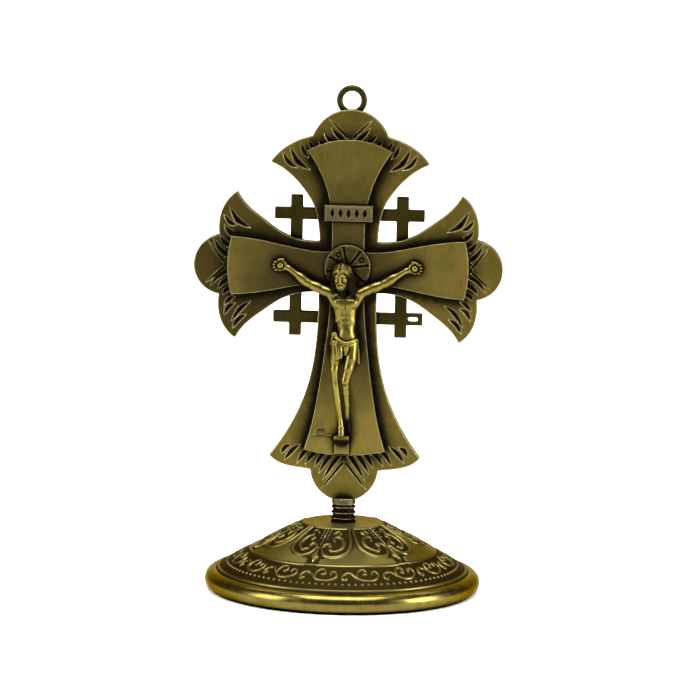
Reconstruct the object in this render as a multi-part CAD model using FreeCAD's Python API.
import FreeCAD, Part
import math
import os

# Small standing altar cross in antique brass, in millimetres.
# +Z is up, the figure faces -Y, +X is to the viewer's right.
# The origin is the centre of the base, on the surface that it stands on.
# X = 0, Y = 0 is also the axis of the stem screw, about which the cross turns on the base.

V = FreeCAD.Vector
UP = V(0, 0, 1)
FORWARD = V(0, -1, 0)

# ---- driving dimensions -------------------------------------------------------------

# Base: a hollow round casting, open underneath
RIM_RADIUS = 25.1
RIM_HEIGHT = 3.4
RIM_FOOT_INNER = 22.7
LAND_RADIUS = 7.0
LAND_HEIGHT = 12.4
LAND_LIP = 0.2
WALL = 1.1

# Stem screw, M2.5 pan head, driven from inside the base, with its washer
SCREW_RADIUS = 1.25
SCREW_HOLE_RADIUS = 1.35
SCREW_HEAD_RADIUS = 2.3
SCREW_HEAD_HEIGHT = 1.7
SCREW_REACH = 3.2
SCREW_SLOT_WIDTH = 0.6
SCREW_SLOT_DEPTH = 0.8
WASHER_RADIUS = 3.0
WASHER_THICKNESS = 0.5
TURNING_GAP = 0.05

# Ringed neck under the cross
NECK_TOP = 16.9
NECK_RADIUS = 2.15
NECK_RING_RADIUS = 2.3
NECK_GROOVE_RADIUS = 1.95
NECK_RING_PITCH = 1.02
NECK_RING_WIDTH = 0.42
NECK_RING_COUNT = 3

# Layers of the cross, front to back
CROSS_CENTRE_Z = 59.0
BACK_PLATE_THICKNESS = 2.2
FRONT_PLATE_THICKNESS = 1.1
PLAQUE_THICKNESS = 0.6
HALO_THICKNESS = 0.5
BACK_REAR_Y = BACK_PLATE_THICKNESS / 2
BACK_FRONT_Y = -BACK_PLATE_THICKNESS / 2
PLATE_FRONT_Y = BACK_FRONT_Y - FRONT_PLATE_THICKNESS

# Half outlines of the flared arms of the back plate, as (distance from the centre, half width).
# "edge" runs from the root to the pointed tip, "end" from the tip in to the round lobe.
BACK_TOP = {
    "edge": [(4.6, 5.2), (7.8, 5.5), (10.9, 6.3), (13.3, 7.7), (17.1, 11.3), (18.8, 14.3)],
    "end": [(21.9, 11.0), (23.0, 8.7), (23.6, 6.6)],
    "lobe": (21.2, 7.2),
}
BACK_SIDE = {
    "edge": [(5.2, 4.6), (9.4, 5.0), (12.5, 6.3), (15.2, 8.2), (18.0, 10.4), (20.2, 13.3)],
    "end": [(21.9, 11.8), (22.9, 10.0), (23.3, 5.3)],
    "lobe": (22.45, 5.45),
}
BACK_BOTTOM = {
    "edge": [(4.6, 5.2), (14.4, 5.6), (21.8, 7.0), (26.2, 8.65), (30.6, 10.97), (34.5, 13.7)],
    "end": [(35.6, 12.4), (36.5, 9.7), (37.0, 6.1)],
    "lobe": (36.5, 6.2),
}
# Half outlines of the raised front plate: its edge, and how far its curved end reaches.
FRONT_TOP = {
    "edge": [(2.9, 2.9), (8.0, 2.95), (11.65, 3.36), (16.3, 4.82), (19.0, 6.23), (21.0, 7.6)],
    "reach": 23.05,
}
FRONT_SIDE = {
    "edge": [(2.9, 2.9), (6.7, 3.0), (9.3, 3.4), (12.7, 4.1), (16.4, 4.78), (21.0, 5.25)],
    "reach": 21.7,
}
FRONT_BOTTOM = {
    "edge": [(2.9, 2.9), (10.0, 3.3), (16.0, 3.95), (23.0, 4.95), (29.0, 6.1), (33.2, 7.35)],
    "reach": 34.1,
}

# Four small crosses soldered behind the corners of the large one
SMALL_CROSS_X = 9.55
SMALL_CROSS_OFFSET_Z = 9.4
SMALL_BAR_WIDTH = 2.2
SMALL_CROSS_THICKNESS = 1.1
SMALL_OUTER_X = 4.0
SMALL_OUTER_Z = 3.4
SMALL_INNER_X = 5.0
SMALL_INNER_Z = 6.0
EYE_X = 11.8
EYE_LENGTH = 1.8
EYE_HEIGHT = 0.8

# Title plaque and halo
PLAQUE_WIDTH = 8.7
PLAQUE_HEIGHT = 2.95
PLAQUE_CENTRE_Z = 68.9
HALO_RADIUS = 4.15
HALO_CENTRE_Z = 59.1

# Figure: balls at the joints of the body as (x, y, z, radius), joined by tapered limbs
PELVIS = (0.1, -3.8, 45.8, 2.1)
WAIST = (0.15, -3.7, 48.7, 1.65)
CHEST = (-0.2, -3.8, 52.3, 2.2)
THROAT = (-0.4, -4.1, 55.4, 0.95)
HEAD = (-0.9, -4.8, 57.7, 1.95)
SHOULDER = (2.9, -3.5, 54.5, 1.0)
ELBOW = (6.8, -3.1, 56.3, 0.75)
WRIST = (10.5, -2.9, 58.7, 0.55)
HAND = (12.1, -2.7, 59.3, 0.72)
KNEES = [(-1.75, -4.8, 40.0, 0.85), (0.15, -4.8, 38.8, 0.88)]
ANKLES = [(-0.6, -4.1, 31.2, 0.65), (0.5, -3.5, 32.0, 0.65)]
TOES = (-0.5, -4.5, 29.3, 0.6)

# Foot rest under the feet, with the strip that carries it
FOOT_REST_X = (-1.8, 0.9)
FOOT_REST_Z = (27.4, 28.8)
FOOT_REST_REACH = 2.6
FOOT_STRIP_BOTTOM_Z = 25.2
FOOT_STRIP_THICKNESS = 0.5

# Nails that rivet the figure to the two plates
NAIL_RADIUS = 0.35
NAIL_HEAD_RADIUS = 0.5
NAIL_HEAD_HEIGHT = 0.25
NAIL_TIP_Y = -0.3
HAND_NAIL_HEAD_Y = -3.35
FOOT_NAIL_HEAD_Y = -4.75
FOOT_NAIL_Z = 30.2

# Hanging loop behind the top lobe
LOOP_CENTRE_Z = 88.95
LOOP_RADIUS = 2.2
LOOP_WIRE_RADIUS = 0.55
LOOP_CENTRE_Y = BACK_REAR_Y + 0.3


# ---- helpers ------------------------------------------------------------------------

def spline(points):
    curve = Part.BSplineCurve()
    curve.interpolate(points)
    return curve.toShape()


def arc(start, middle, end):
    return Part.Arc(start, middle, end).toShape()


def line(start, end):
    return Part.LineSegment(start, end).toShape()


def cylinder(radius, start, end):
    axis = end - start
    return Part.makeCylinder(radius, axis.Length, start, axis)


def revolve_about_z(edges):
    face = Part.Face(Part.Wire(edges))
    return face.revolve(V(0, 0, 0), UP, 360)


def arm(half_edge, half_end, turn, front_y, rear_y):
    """A symmetric flared arm pointing up, turned about the centre of the cross."""
    right = [V(w, front_y, u) for u, w in half_edge]
    left = [V(-p.x, p.y, p.z) for p in reversed(right)]
    root = [right[0], V(right[0].x, front_y, 0), V(left[-1].x, front_y, 0), left[-1]]
    edges = [spline(right)]
    edges += half_end(right[-1], left[0], front_y)
    edges.append(spline(left))
    edges += [line(root[3], root[2]), line(root[2], root[1]), line(root[1], root[0])]
    face = Part.Face(Part.Wire(Part.__sortEdges__(edges)))
    solid = face.extrude(V(0, rear_y - front_y, 0))
    solid.rotate(V(0, 0, 0), V(0, 1, 0), turn)
    solid.translate(V(0, 0, CROSS_CENTRE_Z))
    return solid


def pointed_end(end_points):
    """Outer edge of a back plate arm: from each tip in towards the lobe."""
    def build(right_tip, left_tip, front_y):
        right = [right_tip] + [V(w, front_y, u) for u, w in end_points]
        left = [V(-p.x, p.y, p.z) for p in reversed(right)]
        return [spline(right), line(right[-1], left[0]), spline(left)]
    return build


def bowed_end(reach):
    """End of a front plate arm: one arc from corner to corner."""
    def build(right_corner, left_corner, front_y):
        return [arc(right_corner, V(0, front_y, reach), left_corner)]
    return build


TURNS = {"top": 0, "right": 90, "bottom": 180, "left": 270}


def fuse(solids):
    return solids[0].fuse(solids[1:]).removeSplitter()


def one_solid(shape):
    solids = sorted(shape.Solids, key=lambda s: s.Volume)
    return solids[-1]


# ---- base and stem ------------------------------------------------------------------

def dome_height(radius):
    """Gently bowed cone between the flat land and the rim."""
    run = radius - LAND_RADIUS
    return LAND_HEIGHT - 0.49 * run - 0.0037 * run * run


def base_dome():
    rim_inner = RIM_RADIUS - 1.4
    rim_top = V(RIM_RADIUS - 0.8, 0, RIM_HEIGHT)
    foot = V(RIM_RADIUS - 0.5, 0, 0)
    cone_foot = V(rim_inner, 0, dome_height(rim_inner))
    cone_middle_r = (rim_inner + LAND_RADIUS) / 2
    cone_middle = V(cone_middle_r, 0, dome_height(cone_middle_r))
    lip_outer = V(LAND_RADIUS + LAND_LIP, 0, dome_height(LAND_RADIUS + LAND_LIP))
    lip_inner = V(LAND_RADIUS, 0, LAND_HEIGHT)
    hole_top = V(SCREW_HOLE_RADIUS, 0, LAND_HEIGHT)
    hole_bottom = V(SCREW_HOLE_RADIUS, 0, LAND_HEIGHT - WALL)
    under_land = V(LAND_RADIUS - 0.4, 0, LAND_HEIGHT - WALL)
    drop = WALL * 1.2
    under_middle = V(cone_middle_r - 0.2, 0, dome_height(cone_middle_r) - drop)
    under_foot = V(RIM_FOOT_INNER - 0.3, 0, dome_height(RIM_FOOT_INNER) - drop)
    foot_inner = V(RIM_FOOT_INNER, 0, 0)
    edges = [
        arc(foot, V(RIM_RADIUS, 0, RIM_HEIGHT / 2), rim_top),
        line(rim_top, cone_foot),
        arc(cone_foot, cone_middle, lip_outer),
        line(lip_outer, lip_inner),
        line(lip_inner, hole_top),
        line(hole_top, hole_bottom),
        line(hole_bottom, under_land),
        arc(under_land, under_middle, under_foot),
        line(under_foot, foot_inner),
        line(foot_inner, foot),
    ]
    return revolve_about_z(edges)


def flat_washer():
    top = LAND_HEIGHT - WALL
    bottom = top - WASHER_THICKNESS
    outer = cylinder(WASHER_RADIUS, V(0, 0, bottom), V(0, 0, top))
    hole = cylinder(SCREW_HOLE_RADIUS, V(0, 0, bottom), V(0, 0, top))
    return outer.cut(hole)


def stem_screw():
    head_top = LAND_HEIGHT - WALL - WASHER_THICKNESS - TURNING_GAP
    head_bottom = head_top - SCREW_HEAD_HEIGHT
    head = cylinder(SCREW_HEAD_RADIUS, V(0, 0, head_bottom), V(0, 0, head_top))
    head = head.makeFillet(0.5, [e for e in head.Edges if e.CenterOfMass.z < head_bottom + 0.01])
    shank = cylinder(SCREW_RADIUS, V(0, 0, head_top), V(0, 0, LAND_HEIGHT + SCREW_REACH))
    screw = head.fuse(shank).removeSplitter()
    for turn in (0, 90):
        slot = Part.makeBox(
            2.4, SCREW_SLOT_WIDTH, SCREW_SLOT_DEPTH, V(-1.2, -SCREW_SLOT_WIDTH / 2, head_bottom)
        )
        slot.rotate(V(0, 0, 0), UP, turn)
        screw = screw.cut(slot)
    return screw


def ringed_neck(back_plate):
    """Turned neck with raised rings, tapped from below and slotted for the bottom lobe."""
    bottom = LAND_HEIGHT + TURNING_GAP
    points = [V(0, 0, bottom), V(NECK_RADIUS + 0.1, 0, bottom)]
    first_ring = bottom + 0.75
    points.append(V(NECK_RADIUS + 0.1, 0, bottom + 0.25))
    half = NECK_RING_WIDTH / 2
    for i in range(NECK_RING_COUNT):
        z = first_ring + i * NECK_RING_PITCH
        points += [
            V(NECK_GROOVE_RADIUS, 0, z - half - 0.1),
            V(NECK_RING_RADIUS, 0, z - half + 0.1),
            V(NECK_RING_RADIUS, 0, z + half - 0.1),
            V(NECK_GROOVE_RADIUS, 0, z + half + 0.1),
        ]
    last_ring = first_ring + (NECK_RING_COUNT - 1) * NECK_RING_PITCH
    points += [
        V(NECK_RADIUS, 0, last_ring + half + 0.3),
        V(NECK_RADIUS, 0, NECK_TOP),
        V(0, 0, NECK_TOP),
    ]
    face = Part.Face(Part.makePolygon(points + [points[0]]))
    neck = face.revolve(V(0, 0, 0), UP, 360)
    tapped_hole = cylinder(SCREW_RADIUS, V(0, 0, bottom), V(0, 0, LAND_HEIGHT + SCREW_REACH))
    return one_solid(neck.cut(tapped_hole).cut(back_plate))


# ---- plates of the cross ------------------------------------------------------------

def cross_back_plate():
    solids = []
    for name, turn in TURNS.items():
        shape = {"top": BACK_TOP, "bottom": BACK_BOTTOM}.get(name, BACK_SIDE)
        solids.append(
            arm(shape["edge"], pointed_end(shape["end"]), turn, BACK_FRONT_Y, BACK_REAR_Y)
        )
        reach, radius = shape["lobe"]
        lobe = cylinder(radius, V(0, BACK_FRONT_Y, reach), V(0, BACK_REAR_Y, reach))
        lobe.rotate(V(0, 0, 0), V(0, 1, 0), turn)
        lobe.translate(V(0, 0, CROSS_CENTRE_Z))
        solids.append(lobe)
    return one_solid(fuse(solids))


def cross_front_plate():
    solids = []
    for name, turn in TURNS.items():
        shape = {"top": FRONT_TOP, "bottom": FRONT_BOTTOM}.get(name, FRONT_SIDE)
        solids.append(
            arm(shape["edge"], bowed_end(shape["reach"]), turn, PLATE_FRONT_Y, BACK_FRONT_Y)
        )
    return one_solid(fuse(solids))


def small_cross(side, level, with_eye=False):
    """side is -1 left or +1 right, level is -1 lower or +1 upper."""
    half = SMALL_BAR_WIDTH / 2
    x = side * SMALL_CROSS_X
    z = CROSS_CENTRE_Z + level * SMALL_CROSS_OFFSET_Z
    x_ends = sorted([x + side * SMALL_OUTER_X, x - side * SMALL_INNER_X])
    z_ends = sorted([z + level * SMALL_OUTER_Z, z - level * SMALL_INNER_Z])
    y = BACK_REAR_Y
    across = Part.makeBox(
        x_ends[1] - x_ends[0], SMALL_CROSS_THICKNESS, SMALL_BAR_WIDTH, V(x_ends[0], y, z - half)
    )
    upright = Part.makeBox(
        SMALL_BAR_WIDTH, SMALL_CROSS_THICKNESS, z_ends[1] - z_ends[0], V(x - half, y, z_ends[0])
    )
    cross = fuse([across, upright])
    if with_eye:
        r = EYE_HEIGHT / 2
        straight = EYE_LENGTH / 2 - r
        middle = Part.makeBox(
            2 * straight, SMALL_CROSS_THICKNESS, EYE_HEIGHT, V(side * EYE_X - straight, y, z - r)
        )
        cross = cross.cut(middle)
        for end in (-1, 1):
            start = V(side * EYE_X + end * straight, y, z)
            cross = cross.cut(cylinder(r, start, start + V(0, SMALL_CROSS_THICKNESS, 0)))
    return one_solid(cross)


def title_plaque():
    plaque = Part.makeBox(
        PLAQUE_WIDTH,
        PLAQUE_THICKNESS,
        PLAQUE_HEIGHT,
        V(-PLAQUE_WIDTH / 2, PLATE_FRONT_Y - PLAQUE_THICKNESS, PLAQUE_CENTRE_Z - PLAQUE_HEIGHT / 2),
    )
    upright_edges = [e for e in plaque.Edges if abs(e.tangentAt(e.FirstParameter).y) > 0.99]
    return plaque.makeFillet(0.3, upright_edges)


def halo_disc():
    rear = V(0, PLATE_FRONT_Y, HALO_CENTRE_Z)
    return cylinder(HALO_RADIUS, rear, rear + FORWARD * HALO_THICKNESS)


# ---- figure, foot rest, nails, loop -------------------------------------------------

def ball(joint):
    return Part.makeSphere(joint[3], V(*joint[:3]))


def limb(a, b):
    """Tapered cone between two joint balls."""
    start, end = V(*a[:3]), V(*b[:3])
    return Part.makeCone(a[3], b[3], (end - start).Length, start, end - start)


def body_chain(joints):
    parts = [ball(j) for j in joints]
    parts += [limb(a, b) for a, b in zip(joints, joints[1:])]
    return parts


def nail_shaft(x, z, head_y):
    return cylinder(NAIL_RADIUS, V(x, head_y, z), V(x, NAIL_TIP_Y, z))


def nail(x, z, head_y):
    head = Part.makeCone(
        NAIL_HEAD_RADIUS * 0.7,
        NAIL_HEAD_RADIUS,
        NAIL_HEAD_HEIGHT,
        V(x, head_y - NAIL_HEAD_HEIGHT, z),
        V(0, 1, 0),
    )
    return nail_shaft(x, z, head_y).fuse(head).removeSplitter()


def corpus(halo, foot_rest_block, nail_solids):
    hip = [(x, PELVIS[1], PELVIS[2], 1.25) for x in (-0.85, 0.75)]
    parts = body_chain([PELVIS, WAIST, CHEST, THROAT, HEAD])
    for side in (-1, 1):
        chain = [(side * j[0], j[1], j[2], j[3]) for j in (SHOULDER, ELBOW, WRIST, HAND)]
        parts += body_chain([CHEST] + chain)
    parts += body_chain([hip[0], KNEES[0], ANKLES[0], TOES])
    parts += body_chain([hip[1], KNEES[1], ANKLES[1]])
    figure = parts[0].fuse(parts[1:])
    behind = Part.makeBox(60, 20, 80, V(-30, PLATE_FRONT_Y, 15))
    figure = figure.cut(behind).cut(halo).cut(foot_rest_block)
    for solid in nail_solids:
        figure = figure.cut(solid)
    return one_solid(figure)


def foot_rest():
    low, high = FOOT_REST_Z
    left, right = FOOT_REST_X
    block = Part.makeBox(
        right - left, FOOT_REST_REACH, high - low, V(left, PLATE_FRONT_Y - FOOT_REST_REACH, low)
    )
    strip = Part.makeBox(
        right - left,
        FOOT_STRIP_THICKNESS,
        low - FOOT_STRIP_BOTTOM_Z,
        V(left, PLATE_FRONT_Y - FOOT_STRIP_THICKNESS, FOOT_STRIP_BOTTOM_Z),
    )
    return fuse([block, strip])


def hanging_loop(back_plate):
    loop = Part.makeTorus(
        LOOP_RADIUS, LOOP_WIRE_RADIUS, V(0, LOOP_CENTRE_Y, LOOP_CENTRE_Z), V(0, 1, 0)
    )
    return one_solid(loop.cut(back_plate))


# ---- assembly -----------------------------------------------------------------------

def build():
    hand_x, hand_z = HAND[0], HAND[2]
    nails = {
        "hand_nail_left": (-hand_x, hand_z, HAND_NAIL_HEAD_Y),
        "hand_nail_right": (hand_x, hand_z, HAND_NAIL_HEAD_Y),
        "foot_nail": (TOES[0], FOOT_NAIL_Z, FOOT_NAIL_HEAD_Y),
    }
    nail_solids = {name: nail(*place) for name, place in nails.items()}
    back, front = cross_back_plate(), cross_front_plate()
    neck, loop = ringed_neck(back), hanging_loop(back)
    for place in nails.values():
        shaft = nail_shaft(*place)
        back, front = back.cut(shaft), front.cut(shaft)
    halo, rest = halo_disc(), foot_rest()
    shapes = {
        "base_dome": base_dome(),
        "flat_washer": flat_washer(),
        "stem_screw": stem_screw(),
        "ringed_neck": neck,
        "cross_back_plate": back,
        "cross_front_plate": front,
        "small_cross_upper_left": small_cross(-1, 1),
        "small_cross_upper_right": small_cross(1, 1),
        "small_cross_lower_left": small_cross(-1, -1),
        "small_cross_lower_right": small_cross(1, -1, with_eye=True),
        "title_plaque": title_plaque(),
        "halo_disc": halo,
        "foot_rest": rest,
        "corpus": corpus(halo, rest, nail_solids.values()),
        "hanging_loop": loop,
    }
    shapes.update(nail_solids)
    return shapes


os.makedirs("parts", exist_ok=True)
for node, shape in build().items():
    box = shape.BoundBox
    print(
        f"{node:26s} valid {shape.isValid()} solids {len(shape.Solids)} "
        f"volume {shape.Volume:9.2f} mm3  z {box.ZMin:6.2f} to {box.ZMax:6.2f}"
    )
    shape.exportStep(f"parts/{node}.step")
